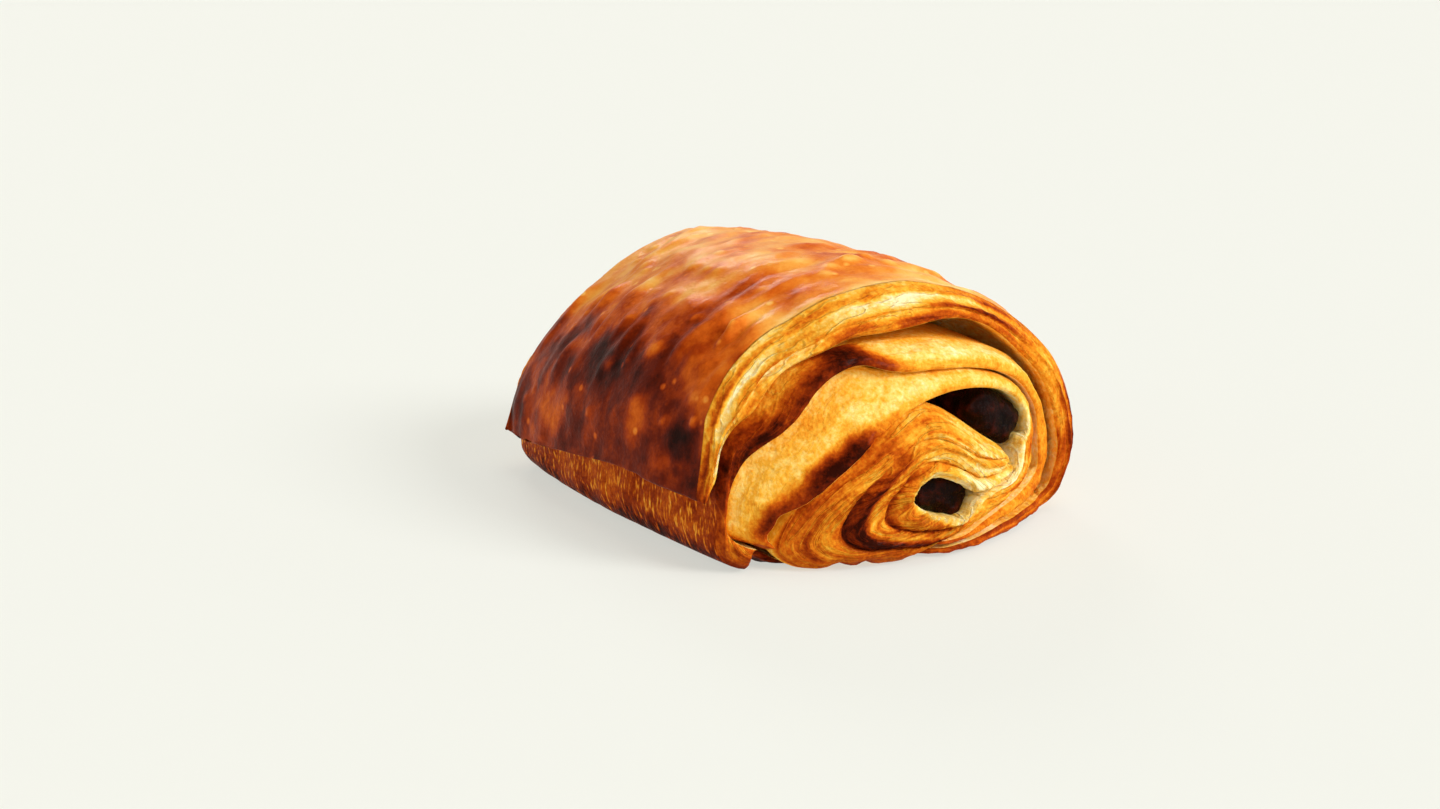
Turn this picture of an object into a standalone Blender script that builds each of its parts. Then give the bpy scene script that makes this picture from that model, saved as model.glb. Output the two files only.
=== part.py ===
"""Pain au chocolat: one sheet of laminated dough rolled round two dark chocolate batons and baked.

Metres, +Z up. The roll's axis lies along Y. The origin is on the resting plane, under the middle of
the object's box. The front of the roll is at -Y, and the sheet's outer end is a seam on the -X side.
"""

import math

import bmesh
import bpy
from mathutils import Matrix, Vector

MM = 0.001

# The roll's ends, as distances from the middle plane at the crust's rim. The inner turns have crept out
# past the rim, in a dome over the lower middle of each end.
FRONT_RIM = 35.0
BACK_RIM = 39.0
FRONT_DOME = 12.0
BACK_DOME = 7.0
DOME_CENTRE = (-2.0, 8.0)
DOME_REACH = (32.0, 38.0)
LIP = 0.7  # the inner edge of each turn stands this far proud of the dome
EDGE_FALL = 0.8  # a turn's cut edge falls back towards its outer side, by this much
EDGE_SLOPE = 0.26  # and by this share of its thickness
DEEPEST_EDGE = 4.6

# The roll is fatter half way along than at its ends. The back end is slimmer, and its -X side has slumped:
# widest a little above the base, and lower at the shoulder.
BELLY = 0.065
BACK_TAPER = 0.03
BELLY_CENTRE = (2.0, 10.0)
BELLY_REACH = 34.0  # the tunnels round the batons are well inside this, so they stay straight
SLUMP_WIDTH = 3.6
SLUMP_HEIGHT = 15.0
SLUMP_DROP = 4.0

GAP = 0.55  # between one turn and the next, where they lie together
LEAST_SHEET = 1.2

BATON_LENGTH = 80.0
BATON_WIDTH = 10.2
BATON_HEIGHT = 6.8
BATON_ROUNDING = 2.4
# name: centre x, centre z, tilt in degrees, shift along Y
BATONS = {
    "lower_baton": (4.0, 9.5, -10.0, -3.0),
    "upper_baton": (18.2, 19.4, -33.0, 3.0),
}

CHOCOLATE = (0.035, 0.012, 0.007, 1.0)
BAKED_DOUGH = (0.52, 0.20, 0.045, 1.0)

# Stations along the dough sheet, seen from the front, from its inner end to its outer end, in millimetres
# at the rim's plane. The heart, wound round the lower baton, is given by both of its skins: outer x and z,
# inner x and z. It is thick at -X, where the first turns have baked into one.
HEART = [
    (15.4, 17.0, 15.0, 13.8), (11.6, 19.0, 11.0, 14.4), (7.0, 21.2, 7.4, 14.9), (1.4, 22.6, 3.4, 15.2),
    (-5.0, 22.0, 0.6, 14.8), (-11.4, 19.2, -1.4, 13.4), (-17.4, 15.2, -2.6, 11.6), (-22.6, 10.8, -3.0, 9.6),
    (-26.4, 6.2, -2.8, 7.6), (-22.4, 3.7, -1.9, 6.0), (-13.0, 3.5, 0.2, 4.8), (-4.0, 3.5, 3.0, 4.4),
    (4.0, 3.5, 6.6, 4.5), (11.0, 3.9, 10.4, 5.8), (17.5, 5.4, 13.4, 8.6), (23.4, 8.8, 17.6, 12.0),
]
# The turns round it: x and z of the outer skin, and the thickness the sheet has risen to. Where the turn
# below is nearer than that, the sheet is only as thick as the space it has.
UPPER_COVER = [  # up the right, over the upper baton, down the left and under
    (27.4, 13.2, 4.9), (28.6, 18.4, 3.9), (26.0, 23.4, 3.2), (20.6, 27.2, 2.8),
    (13.0, 29.2, 2.7), (5.6, 29.9, 3.2), (-2.0, 30.2, 5.0), (-9.4, 29.6, 8.0),
    (-16.6, 27.0, 9.6), (-22.8, 22.8, 10.2), (-27.8, 17.6, 10.2), (-31.0, 12.0, 9.4),
    (-32.0, 6.4, 6.4), (-29.4, 2.2, 3.6), (-21.0, 1.9, 1.4), (-6.0, 1.9, 1.2),
    (7.0, 1.9, 1.2), (17.6, 2.3, 1.8),
]
SECOND_COVER = [  # up the right, over the top with its ridge, down the left and flat along the base
    (26.0, 4.4, 3.0), (32.2, 8.6, 4.4), (34.4, 14.4, 5.0), (33.2, 20.4, 5.8),
    (28.6, 26.4, 6.2), (21.8, 30.8, 5.6), (13.0, 33.6, 4.8), (4.0, 35.0, 5.4),
    (-5.0, 35.6, 6.0), (-13.2, 34.6, 6.0), (-20.2, 31.8, 6.6), (-26.2, 27.4, 6.4),
    (-30.6, 22.0, 6.0), (-33.4, 16.2, 5.4), (-35.0, 10.6, 5.0), (-36.2, 4.4, 4.6),
    (-33.4, 0.0, 2.4), (-26.0, 0.0, 1.3), (-14.0, 0.0, 1.3), (-2.0, 0.0, 1.3), (10.0, 0.0, 1.3),
]
CRUST = [  # up the right, over the top and down to the seam on the left
    (21.6, 0.0, 1.8), (31.6, 0.0, 3.0), (37.8, 4.4, 3.2), (39.0, 11.2, 3.6),
    (38.6, 18.4, 3.8), (36.0, 25.6, 4.4), (30.8, 31.8, 4.8), (24.0, 36.8, 4.8),
    (15.0, 40.8, 5.0), (5.0, 42.5, 5.2), (-5.0, 42.2, 4.8), (-14.0, 40.2, 4.4),
    (-21.8, 36.8, 4.2), (-28.2, 32.2, 4.0), (-33.0, 26.4, 3.4), (-36.0, 19.8, 2.8),
    (-37.4, 14.6, 2.2), (-37.9, 11.4, 1.5),
]


def fresh_collection(name):
    for thing in list(bpy.data.objects):
        bpy.data.objects.remove(thing)
    collection = bpy.data.collections.new(name)
    bpy.context.scene.collection.children.link(collection)
    return collection


def matte(name, colour, roughness):
    material = bpy.data.materials.new(name)
    material.use_nodes = True
    shader = material.node_tree.nodes["Principled BSDF"]
    shader.inputs["Base Color"].default_value = colour
    shader.inputs["Roughness"].default_value = roughness
    return material


def crossing(start, direction, first, second):
    """How far along direction from start the line meets the segment first to second, or None."""
    along = second - first
    turned = direction.x * along.y - direction.y * along.x
    if abs(turned) < 1e-9:
        return None
    to_first = first - start
    distance = (to_first.x * along.y - to_first.y * along.x) / turned
    share = (to_first.x * direction.y - to_first.y * direction.x) / turned
    if distance > 0.0 and 0.0 <= share <= 1.0:
        return distance
    return None


def sheet_stations():
    """Outer and inner skin of the sheet at each station, with the inner skin kept off the turn below."""
    stations = [(Vector((x, z)), Vector((inner_x, inner_z))) for x, z, inner_x, inner_z in HEART]
    turns = UPPER_COVER + SECOND_COVER + CRUST
    outer = [point for point, _ in stations] + [Vector((x, z)) for x, z, _ in turns]
    for i, (_, _, thickness) in enumerate(turns, start=len(HEART)):
        point = outer[i]
        run = (outer[min(i + 1, len(outer) - 1)] - outer[i - 1]).normalized()
        inward = Vector((-run.y, run.x))
        for first, second in zip(outer[: i - 2], outer[1:]):
            distance = crossing(point, inward, first, second)
            if distance is not None and distance < 2.2 * thickness:
                thickness = max(LEAST_SHEET, min(thickness, distance - GAP))
        stations.append((point, point + inward * thickness))
    return stations


def dome(point):
    """How far an end has crept out at a point of the section: 1 at the dome's middle, 0 past its reach."""
    across = (point.x - DOME_CENTRE[0]) / DOME_REACH[0]
    up = (point.y - DOME_CENTRE[1]) / DOME_REACH[1]
    return max(0.0, 1.0 - across**2 - up**2)


def shaped(point, y):
    """A section point placed at y, with the roll's belly and its slump, both fading towards the heart."""
    from_heart = (point - Vector(BELLY_CENTRE)).length / BELLY_REACH
    share = min(1.0, from_heart) ** 2
    along = min(1.0, abs(y) / (BACK_RIM if y > 0 else FRONT_RIM))
    grow = BELLY * (1.0 - along**2) - (BACK_TAPER * along**2 if y > 0 else 0.0)
    x = point.x * (1.0 + grow * share)
    z = point.y * (1.0 + grow * share)
    back = min(1.0, max(0.0, (y + 10.0) / 40.0))
    left = min(1.0, max(0.0, -point.x / 30.0)) * share * back
    x -= SLUMP_WIDTH * left * max(0.0, 1.0 - abs(z / SLUMP_HEIGHT - 1.0))
    z -= SLUMP_DROP * left * min(1.0, z / (2.0 * SLUMP_HEIGHT))
    return Vector((x, y, z))


def section_loop(outer, inner):
    """One closed loop round the sheet at a station: the outer skin front to back, then the inner skin."""
    middle = (outer + inner) / 2
    fall = min(DEEPEST_EDGE, EDGE_FALL + EDGE_SLOPE * (outer - inner).length)
    front = FRONT_RIM + FRONT_DOME * dome(middle)
    back = BACK_RIM + BACK_DOME * dome(middle)
    steps = (0.0, 0.3, 0.7, 1.0)
    loop = [shaped(outer, -(front - fall) + share * (front + back - 2 * fall)) for share in steps]
    loop.append(shaped(middle, back + LIP))
    loop += [shaped(inner, back + LIP - share * (front + back + 2 * LIP)) for share in steps]
    loop.append(shaped(middle, -(front + LIP)))
    return loop


def add_rolled_dough(collection, material):
    """The sheet as a coarse cage, lofted through unlike sections, then smoothed by subdivision."""
    work = bmesh.new()
    rings = [
        [work.verts.new(point * MM) for point in section_loop(outer, inner)]
        for outer, inner in sheet_stations()
    ]
    for here, ahead in zip(rings, rings[1:]):
        for k in range(len(here)):
            n = (k + 1) % len(here)
            work.faces.new((here[k], here[n], ahead[n], ahead[k]))
    work.faces.new(rings[0])
    work.faces.new(reversed(rings[-1]))
    bmesh.ops.recalc_face_normals(work, faces=work.faces)
    mesh = bpy.data.meshes.new("rolled_dough")
    work.to_mesh(mesh)
    work.free()
    mesh.materials.append(material)
    mesh.shade_smooth()
    dough = bpy.data.objects.new("rolled_dough", mesh)
    collection.objects.link(dough)
    smooth = dough.modifiers.new("soft form", "SUBSURF")
    smooth.levels = smooth.render_levels = 1
    return dough


def add_baton(collection, name, material):
    """A straight bar with rounded edges and ends, turned about Y to lie on the dough below it."""
    x, z, tilt, shift = BATONS[name]
    work = bmesh.new()
    size = Vector((BATON_WIDTH, BATON_LENGTH, BATON_HEIGHT)) * MM
    bmesh.ops.create_cube(work, size=1.0, matrix=Matrix.Diagonal(size).to_4x4())
    mesh = bpy.data.meshes.new(name)
    work.to_mesh(mesh)
    work.free()
    mesh.materials.append(material)
    baton = bpy.data.objects.new(name, mesh)
    collection.objects.link(baton)
    baton.location = Vector((x, shift, z)) * MM
    baton.rotation_euler = (0.0, -math.radians(tilt), 0.0)
    rounding = baton.modifiers.new("rounded edges", "BEVEL")
    rounding.width = BATON_ROUNDING * MM
    rounding.segments = 3
    mesh.shade_smooth()
    return baton


def stand_over_origin(parts):
    """Moves the parts together so that the origin is under the middle of their common box."""
    bpy.context.view_layer.update()
    graph = bpy.context.evaluated_depsgraph_get()
    corners = []
    for part in parts:
        seen = part.evaluated_get(graph)
        corners += [seen.matrix_world @ vertex.co for vertex in seen.data.vertices]
    low = Vector([min(corner[axis] for corner in corners) for axis in range(3)])
    high = Vector([max(corner[axis] for corner in corners) for axis in range(3)])
    under_middle = Vector(((low.x + high.x) / 2, (low.y + high.y) / 2, low.z))
    for part in parts:
        part.location -= under_middle


def main():
    collection = fresh_collection("pain_au_chocolat")
    baked = matte("baked dough", BAKED_DOUGH, 0.5)
    chocolate = matte("dark chocolate", CHOCOLATE, 0.35)
    parts = [add_rolled_dough(collection, baked)]
    parts += [add_baton(collection, name, chocolate) for name in BATONS]
    stand_over_origin(parts)


main()
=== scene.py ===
import math

import bpy
import numpy as np
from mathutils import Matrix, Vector


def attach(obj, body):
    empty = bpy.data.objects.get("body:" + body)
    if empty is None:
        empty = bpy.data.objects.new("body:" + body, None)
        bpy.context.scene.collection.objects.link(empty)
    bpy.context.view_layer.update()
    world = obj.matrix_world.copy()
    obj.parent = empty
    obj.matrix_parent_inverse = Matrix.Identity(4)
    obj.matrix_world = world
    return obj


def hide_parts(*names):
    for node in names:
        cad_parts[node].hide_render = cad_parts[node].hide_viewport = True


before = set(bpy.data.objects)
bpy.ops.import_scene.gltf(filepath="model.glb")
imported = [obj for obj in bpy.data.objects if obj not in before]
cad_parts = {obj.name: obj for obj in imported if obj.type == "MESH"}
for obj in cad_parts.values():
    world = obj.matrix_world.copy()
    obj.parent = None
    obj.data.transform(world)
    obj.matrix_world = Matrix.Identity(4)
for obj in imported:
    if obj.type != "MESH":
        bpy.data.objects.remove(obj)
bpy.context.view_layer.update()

mm = 0.001

# All lengths below are in millimetres, in the CAD's axes: the roll lies along y, its fuller end at -y.

# The roll's form, close to the CAD's.
roll = {
    "frontRim": 35.0, "backRim": 39.0,         # from the middle plane to the crust's rim
    "frontDome": 12.0, "backDome": 7.0,        # how far the heart has crept out past the rims
    "domeCentre": (-2.0, 8.0), "domeReach": (32.0, 38.0),
    "belly": 0.065, "backTaper": 0.03,         # fatter half way along, slimmer at the back
    "bellyCentre": (2.0, 10.0), "bellyReach": 34.0,
    "slumpWidth": 0.9, "slumpHeight": 15.0, "slumpDrop": 5.5,
    "baseLift": 3.5,                           # the heart's underside inside the roll, above the base turns
    "gap": 0.35, "leastSheet": 0.9,            # between turns that lie together, and the thinnest sheet
    "archSag": 3.6,                            # how far the inner skin comes down behind an open mouth
}

# The dough sheet seen from the front, from its torn inner end to the seam. Each station of the heart has
# both skins, outer x and z and inner x and z, and a tone. The turns round it have x and z of the outer
# skin, the thickness where nothing presses, how far the outer edge falls back, how far the crest stands
# proud, how dark the crest is toasted, and the tone of the rest. Tones go from 0 cream to 1 burnt.
heart = [
    (15.1, 16.0, 16.3, 11.0, 0.20), (13.2, 17.2, 14.2, 10.1, 0.14), (10.6, 18.8, 11.2, 9.7, 0.12),
    (7.6, 20.8, 8.3, 9.7, 0.14), (4.6, 22.9, 6.0, 10.9, 0.24), (1.6, 24.6, 3.4, 12.2, 0.30),
    (-2.0, 25.4, 0.6, 13.4, 0.32), (-6.4, 24.2, -1.8, 13.8, 0.34), (-10.6, 21.8, -3.4, 13.0, 0.45),
    (-15.0, 18.6, -4.5, 12.1, 0.47), (-19.4, 15.2, -5.1, 11.4, 0.47), (-23.0, 11.5, -5.3, 10.8, 0.45),
    (-25.6, 7.6, -5.0, 10.2, 0.45), (-26.8, 3.4, -4.2, 9.4, 0.47), (-23.0, 0.5, -2.8, 8.4, 0.51),
    (-15.5, 0.3, -0.8, 7.5, 0.55), (-8.0, 0.3, 1.8, 6.6, 0.49), (-1.0, 2.2, 4.6, 5.9, 0.43),
    (5.4, 3.3, 7.0, 7.2, 0.41), (11.4, 5.0, 8.8, 8.8, 0.37), (17.6, 6.3, 12.0, 9.5, 0.37),
    (22.8, 7.5, 16.6, 9.9, 0.39), (26.0, 10.0, 19.6, 12.0, 0.38),
]
upperCover = [
    (27.6, 13.2, 6.4, 1.6, 0.0, 0.05, 0.44), (28.1, 16.4, 4.6, 1.6, 0.0, 0.05, 0.44),
    (27.2, 19.6, 4.0, 1.6, 0.2, 0.08, 0.42), (24.8, 22.6, 3.0, 1.2, 0.2, 0.15, 0.34),
    (21.0, 25.4, 2.4, 1.0, 0.2, 0.20, 0.22), (15.6, 27.8, 2.5, 0.8, 0.3, 0.25, 0.19),
    (9.0, 29.5, 2.8, 0.8, 0.3, 0.28, 0.15), (2.6, 30.2, 3.4, 0.9, 0.3, 0.30, 0.13),
    (-3.6, 30.5, 5.2, 1.2, 0.4, 0.35, 0.13), (-8.4, 31.3, 9.6, 1.8, 0.5, 0.46, 0.15),
    (-12.8, 32.7, 12.5, 2.4, 0.8, 0.60, 0.17), (-17.0, 31.6, 15.0, 2.8, 1.1, 0.74, 0.17),
    (-20.2, 29.2, 15.0, 2.8, 1.5, 0.88, 0.19), (-22.8, 26.2, 15.0, 2.6, 1.9, 1.00, 0.20),
    (-25.4, 23.4, 15.0, 2.4, 2.0, 1.00, 0.20), (-28.4, 21.0, 14.0, 2.2, 2.0, 0.92, 0.19),
    (-31.0, 18.6, 12.0, 2.0, 1.8, 0.84, 0.19), (-32.7, 15.0, 9.8, 1.6, 1.5, 0.80, 0.21),
    (-33.6, 11.0, 8.0, 1.2, 1.0, 0.76, 0.23), (-33.9, 7.8, 6.6, 1.0, 0.7, 0.70, 0.24),
    (-32.4, 5.6, 4.2, 0.8, 0.5, 0.62, 0.50), (-29.4, 4.6, 2.4, 1.5, 0.3, 0.60, 0.60),
    (-26.0, 2.3, 1.4, 3.6, 0.0, 0.60, 0.60), (-20.0, 1.9, 1.2, 4.6, 0.0, 0.60, 0.60),
    (-10.0, 1.9, 1.2, 4.6, 0.0, 0.60, 0.60), (-1.0, 1.9, 1.2, 3.0, 0.0, 0.60, 0.60),
    (7.0, 2.1, 1.6, 1.6, 0.0, 0.45, 0.50), (14.0, 2.7, 2.4, 1.0, 0.0, 0.40, 0.45),
    (20.4, 3.0, 3.2, 1.0, 0.0, 0.40, 0.45),
]
secondCover = [
    (26.0, 3.4, 4.0, 1.2, 0.0, 0.40, 0.50), (30.4, 5.2, 4.4, 1.5, 0.2, 0.45, 0.48),
    (32.6, 8.8, 4.8, 1.6, 0.2, 0.45, 0.46), (32.9, 12.8, 4.8, 1.8, 0.2, 0.45, 0.42),
    (31.8, 16.8, 4.6, 2.0, 0.2, 0.42, 0.36), (30.2, 20.4, 4.6, 2.2, 0.2, 0.42, 0.26),
    (27.8, 24.4, 5.0, 2.4, 0.2, 0.40, 0.22), (24.2, 27.9, 5.2, 2.6, 0.2, 0.38, 0.14),
    (18.6, 30.8, 5.0, 2.6, 0.2, 0.36, 0.10), (12.6, 32.8, 4.8, 2.6, 0.2, 0.34, 0.10),
    (6.0, 34.3, 4.9, 2.6, 0.2, 0.32, 0.10), (-1.0, 35.2, 5.2, 2.6, 0.3, 0.34, 0.12),
    (-8.0, 35.6, 4.6, 2.4, 1.0, 0.70, 0.16), (-14.4, 35.3, 3.0, 1.8, 2.0, 1.00, 0.30),
    (-19.0, 34.2, 4.0, 2.0, 2.2, 0.95, 0.22), (-22.8, 32.5, 4.4, 2.2, 2.2, 0.88, 0.18),
    (-25.4, 30.4, 4.6, 2.2, 2.2, 0.86, 0.18), (-27.4, 27.6, 4.6, 2.0, 2.1, 0.82, 0.22),
    (-29.4, 25.2, 4.4, 1.8, 1.8, 0.84, 0.40), (-32.0, 23.2, 4.2, 1.6, 1.6, 0.80, 0.62),
    (-33.9, 20.6, 4.0, 1.4, 1.4, 0.80, 0.66), (-34.8, 17.2, 3.6, 1.2, 1.3, 0.84, 0.66),
    (-35.1, 13.4, 4.4, 1.2, 1.0, 0.72, 0.60), (-35.0, 9.4, 5.0, 1.0, 0.8, 0.50, 0.40),
    (-35.0, 5.4, 6.0, 0.8, 0.8, 0.52, 0.42), (-33.3, 1.6, 7.0, 0.6, 0.6, 0.60, 0.56),
    (-29.2, 0.1, 5.0, 0.8, 0.4, 0.66, 0.66), (-23.6, 0.0, 2.0, 2.6, 0.0, 0.70, 0.70),
    (-15.0, 0.0, 1.5, 4.2, 0.0, 0.70, 0.70), (-5.0, 0.0, 1.5, 3.6, 0.0, 0.70, 0.70),
    (5.0, 0.0, 1.7, 2.0, 0.0, 0.70, 0.65), (14.0, 0.0, 2.3, 0.8, 0.0, 0.65, 0.60),
]
crust = [
    (22.4, 0.0, 2.7, 0.8, 0.2, 0.62, 0.62), (29.4, 0.2, 2.8, 0.8, 0.3, 0.62, 0.62),
    (34.0, 2.4, 3.6, 0.9, 0.4, 0.62, 0.60), (36.8, 6.8, 4.4, 1.2, 0.5, 0.62, 0.58),
    (37.9, 12.0, 5.0, 1.4, 0.6, 0.66, 0.64), (37.6, 17.0, 5.2, 1.6, 0.4, 0.50, 0.62),
    (36.0, 22.0, 5.0, 1.8, 0.3, 0.35, 0.54), (33.2, 27.0, 4.8, 2.0, 0.3, 0.30, 0.36),
    (29.0, 31.4, 4.6, 2.2, 0.3, 0.45, 0.40), (24.0, 35.2, 4.4, 2.4, 0.4, 0.55, 0.48),
    (18.4, 38.4, 4.0, 2.6, 0.5, 0.60, 0.40), (12.0, 40.9, 3.9, 2.8, 0.6, 0.60, 0.26),
    (5.4, 42.7, 4.7, 3.2, 0.8, 0.60, 0.18), (-1.2, 43.3, 5.6, 3.6, 0.9, 0.62, 0.16),
    (-8.0, 42.8, 5.6, 3.6, 0.9, 0.50, 0.18), (-14.4, 41.3, 4.8, 3.4, 0.7, 0.62, 0.24),
    (-20.0, 38.7, 4.4, 3.2, 0.6, 0.40, 0.26), (-25.0, 36.2, 4.6, 3.2, 0.4, 0.16, 0.24),
    (-29.4, 33.0, 5.0, 3.2, 0.3, 0.24, 0.20), (-32.6, 29.4, 5.4, 3.0, 0.3, 0.40, 0.22),
    (-34.9, 25.4, 4.6, 2.4, 0.3, 0.30, 0.30), (-36.3, 21.4, 3.0, 1.6, 0.3, 0.12, 0.30),
    (-37.3, 17.6, 2.2, 1.2, 0.3, 0.14, 0.36), (-38.0, 14.6, 1.7, 1.0, 0.2, 0.4, 0.5),
    (-38.3, 13.0, 1.2, 0.8, 0.2, 0.6, 0.6),
]
# where the sheet turns a tight corner its inner skin is stated: station counted from the torn end, x, z
tightTurns = [(40, -26.6, 10.6), (41, -27.4, 8.6), (42, -28.0, 7.0), (43, -28.2, 5.9), (44, -27.6, 4.8),
              (45, -25.2, 3.4)]
heartToast = 0.14
# the heart's own layers: how far across the sheet they lie, how far they stand out or in, how wide they
# are, and the tone they add
heartLayers = [
    # the first lies in a recess along the heart's outer side, under the next turn's crest, and the tone it
    # adds there is painted shade
    (0.00, -1.7, 0.16, 0.16), (0.43, -1.0, 0.022, 0.30), (0.51, 1.0, 0.060, 0.46), (0.62, 0.3, 0.04, -0.14),
    (0.75, -0.9, 0.024, 0.30), (0.88, 0.8, 0.07, -0.06),
]
# the same for the crust's end
crustLayers = [
    (0.14, 0.35, 0.05, 0.18), (0.30, -0.6, 0.06, -0.16), (0.50, 0.5, 0.045, 0.22), (0.64, -0.5, 0.05, -0.14),
]

# Stations, counted from the torn end.
firstTurn = len(heart)
firstCrust = firstTurn + len(upperCover) + len(secondCover)
seamStation = firstCrust + len(crust) - 1
lowSideFrom = 67                # from here to the crust the second cover's outer skin is in sight below it
# behind its open mouths the sheet's inner skin comes down: from and to which stations, and how strongly
mouths = [((88, 91), (99, 102), 1.0), ((26, 28), (32, 34), 1.6)]
# how much the thin layers show on the sheet's ends, by station: little in the puffed turns
layeredAt = [(0, 0.8), (22, 0.6), (26, 0.15), (58, 0.15), (66, 0.3), (72, 0.8), (84, 0.5), (108, 0.8)]

# The grid that carries the sheet.
grid = {
    "step": 0.74,               # along the sheet
    "samples": 6000,            # along the curve that it is measured on
    "skin": 96, "frontEdge": 44, "inside": 14, "backEdge": 16,
    "coarse": 8, "lead": 9,     # where the outer skin is hidden, one point in 8 is kept after the first 9
}

# The two ends of the sheet.
ends = {
    "crestFrom": 3.2, "crestTo": 1.2,           # the crest rises between these, from the inner skin
    "heartFull": 9.0, "crustFull": 4.0,         # layers show fully where the sheet is this thick
    "tuck": 5.0,                                # how far the base turns' ends lie back under the heart
    "rounding": 0.9, "roundingShare": 0.45,     # of the two edges, at most this share of the thickness
    "backLayers": 0.6,                          # how much of the front's layers the back end has
    "layer": 0.42, "layerStep": 0.42, "layerLength": 9.0,
    "crumb": 0.24, "crumbSize": 1.6, "swell": 0.3, "swellSize": 6.0,
    "ragged": 0.45, "raggedSize": 7.0, "torn": 0.5, "tornSize": 1.8,
    "notches": [(-28.0, 1.1, 1.4), (-17.3, 0.9, 1.6), (-12.6, 0.7, 0.9)],   # x, height, width
}

# The crust and the low side under it.
skin = {
    "wrinkle": 1.3, "wrinkleEvery": 4.8, "wrinkleWander": 1.6,
    "swell": 0.9, "grain": 0.10,
    "blisters": 150, "blister": (0.7, 1.9, 0.2, 0.55),      # how many; radius and height from and to
    "seamThinning": 0.7,
}

# How baked the outside is, from 0 pale to 1 burnt, with some painted shade and painted sheen on the crust.
bakes = {
    # the -x side is darker partly from its bake and partly as painted shade; near the front rim on top the
    # crust is paler partly from its bake and partly as painted sheen
    "crust": 0.34, "shoulder": 0.38, "rimPaleAndSheen": 0.14,      # the crust, its -x side, and near its front rim
    "broad": 0.22, "broadSize": 12.0, "mottle": 0.34, "mottleSize": 5.5, "streak": 0.10,
    "most": 0.84, "easeFrom": 0.70,                         # the noise eases off from the second to the first
    "blister": 0.20,                                        # how much paler a blister is
    "lowSide": 0.70, "lowMottle": 0.18, "under": 0.35,
    "hidden": 0.30, "inside": 0.14, "insideCrust": 0.12, "insideSeam": 0.4,
}

# places where the crust is darker or paler: x, y, z, radius, tone added. The second and third lie along the
# -x shoulder as a band of painted shade.
darkPatches = [
    (-37.0, -29.0, 19.5, 4.2, 0.34), (-34.0, 4.0, 28.0, 7.0, 0.12), (-33.0, -10.0, 28.0, 6.0, 0.05),
    (-12.0, -22.0, 42.0, 7.0, 0.16), (-38.0, -14.0, 21.0, 4.0, -0.24), (22.0, -10.0, 37.0, 9.0, 0.2),
    (-37.0, -4.0, 17.0, 4.0, -0.12), (-30.0, -22.0, 33.0, 6.0, -0.12),
]

batons = [
    {"name": "chocolate_lower", "node": "lower_baton", "x": 3.0, "z": 9.5, "tilt": -20.0,
     "width": 10.4, "height": 6.4, "front": -43.4, "back": 37.0, "lump": 0.5, "seed": 61},
    {"name": "chocolate_upper", "node": "upper_baton", "x": 17.2, "z": 19.7, "tilt": -35.0,
     "width": 11.0, "height": 7.2, "front": -38.4, "back": 42.6, "lump": 0.5, "seed": 71},
]

# the CAD was stood over the origin by the middle of its box, which its own design is this far from
placing = np.array([0.085, 0.44, 0.0])

studio = {
    "floor": (0.92, 0.93, 0.865, 1.0), "floorOwn": 0.60, "floorLit": 0.34,
    "flatRadius": 3.0, "floorRadius": 12.0, "floorRise": 4.3,          # metres
    "skyColour": (0.24, 0.206, 0.168, 1.0), "skyPaleTo": 0.42, "skyFillFrom": 0.52,
    # toward, spread in degrees, strength
    "suns": {"key": ((0.45, -0.70, 0.55), 26, 2.62), "back": ((0.30, 0.83, 0.46), 16, 0.6),
             "top": ((0.15, -0.10, 1.0), 40, 0.65), "left": ((-0.75, -0.45, 0.45), 50, 0.25)},
}

camera = {"azimuth": -31.5, "elevation": 13.0, "distance": 0.380, "target": (-5.5, 3.0, 25.0),
          "lens": 53.39, "shift": (-0.0229, -0.0344)}


def smooth(x, low, high):
    # 0 below low, 1 above high, and the cubic 3t^2 - 2t^3 between
    t = np.clip((x - low) / (high - low), 0.0, 1.0)
    return t * t * (3.0 - 2.0 * t)


def bump(x, middle, width):
    # the bell exp(-((x - middle) / width)^2)
    return np.exp(-(((x - middle) / width) ** 2))


def valueNoise(x, y, z, seed):
    # random values on a unit lattice, joined by the smooth cubic along each axis, from -1 to 1
    side = 32
    table = np.random.default_rng(seed).uniform(-1.0, 1.0, (side, side, side))
    x, y, z = np.broadcast_arrays(x, y, z)
    whole = [np.floor(a).astype(int) for a in (x, y, z)]
    part = [a - b for a, b in zip((x, y, z), whole)]
    part = [f * f * (3.0 - 2.0 * f) for f in part]
    total = np.zeros(x.shape)
    for i in (0, 1):
        for j in (0, 1):
            for k in (0, 1):
                weight = (part[0] if i else 1 - part[0]) * (part[1] if j else 1 - part[1])
                weight = weight * (part[2] if k else 1 - part[2])
                total += weight * table[(whole[0] + i) % side, (whole[1] + j) % side, (whole[2] + k) % side]
    return total


def cloud(x, y, z, size, seed, octaves=3):
    # value noise summed over octaves, each half the size and half the height of the one before
    total = np.zeros(np.broadcast(x, y, z).shape)
    for n in range(octaves):
        k = 2.0 ** n / size
        total += valueNoise(x * k + 7.3 * n, y * k + 3.1 * n, z * k + 5.7 * n, seed + n) / 2.0 ** n
    return total / (2.0 - 2.0 ** (1 - octaves))


def throughPoints(points, where):
    # a Catmull-Rom curve through the rows of points, at fractional row numbers
    points = np.asarray(points, float)
    padded = np.vstack([2 * points[0] - points[1], points, 2 * points[-1] - points[-2]])
    i = np.clip(np.floor(where).astype(int), 0, len(points) - 2)
    f = (where - i)[:, None]
    a, b, c, d = padded[i], padded[i + 1], padded[i + 2], padded[i + 3]
    square, cube = 2 * a - 5 * b + 4 * c - d, 3 * b - a - 3 * c + d
    return 0.5 * (2 * b + (c - a) * f + square * f ** 2 + cube * f ** 3)


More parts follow.
